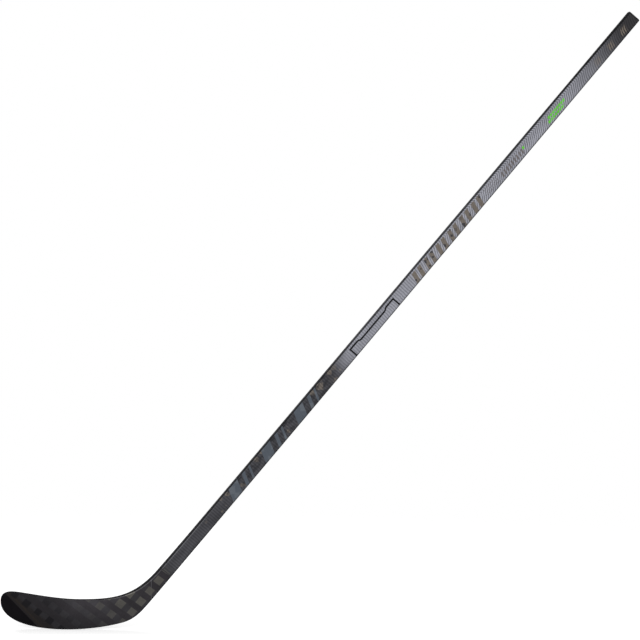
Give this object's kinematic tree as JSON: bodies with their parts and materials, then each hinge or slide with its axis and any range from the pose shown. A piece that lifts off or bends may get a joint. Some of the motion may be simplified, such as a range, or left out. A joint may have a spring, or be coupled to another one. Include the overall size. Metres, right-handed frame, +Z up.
{
  "type": "ice hockey stick",
  "caption": "Rigid composite ice hockey stick with a hollow tapered shaft, butt plug, bonded hosel and a curved foam-cored blade.",
  "frame": {"origin": "heel datum: the point where the shaft's axis meets the ice plane; the blade's rocker touches Z = 0", "axes": "+Z up from the ice, -X towards the toe and +X under the rising shaft, +Y towards the side that the hollow face looks to"},
  "size_m": [1.245, 0.0573, 1.196],
  "materials": {
    "printed_laminate": "printed woven laminate, satin clear coat",
    "woven_laminate": "open woven laminate, satin",
    "black_laminate": "plain black laminate, satin",
    "edge_laminate": "edge strip, satin",
    "inner_laminate": "raw carbon laminate",
    "plug_black": "moulded black plastic, matte",
    "core_foam": "rigid closed-cell foam",
    "insert_resin": "dense filled resin",
    "glue": "cured epoxy"
  },
  "bodies": {
    "root": {"shaft_outer_ply": "printed_laminate", "shaft_axial_ply": "inner_laminate", "shaft_inner_ply": "inner_laminate", "butt_plug": "plug_black", "plug_glue": "glue", "joint_band": "woven_laminate", "tenon_shell": "inner_laminate", "tenon_core": "core_foam", "tenon_glue": "glue", "hosel_wrap": "woven_laminate", "hosel_sleeve": "inner_laminate", "heel_insert": "insert_resin", "upper_core": "core_foam", "spine_rib": "inner_laminate", "lower_core": "core_foam", "backhand_skin": "inner_laminate", "forehand_skin": "inner_laminate", "backhand_weave": "woven_laminate", "forehand_weave": "woven_laminate", "backhand_toe_ply": "black_laminate", "forehand_toe_ply": "black_laminate", "top_edge_strip": "edge_laminate", "toe_edge_strip": "black_laminate", "bottom_edge_strip": "edge_laminate"}
  },
  "joints": []
}
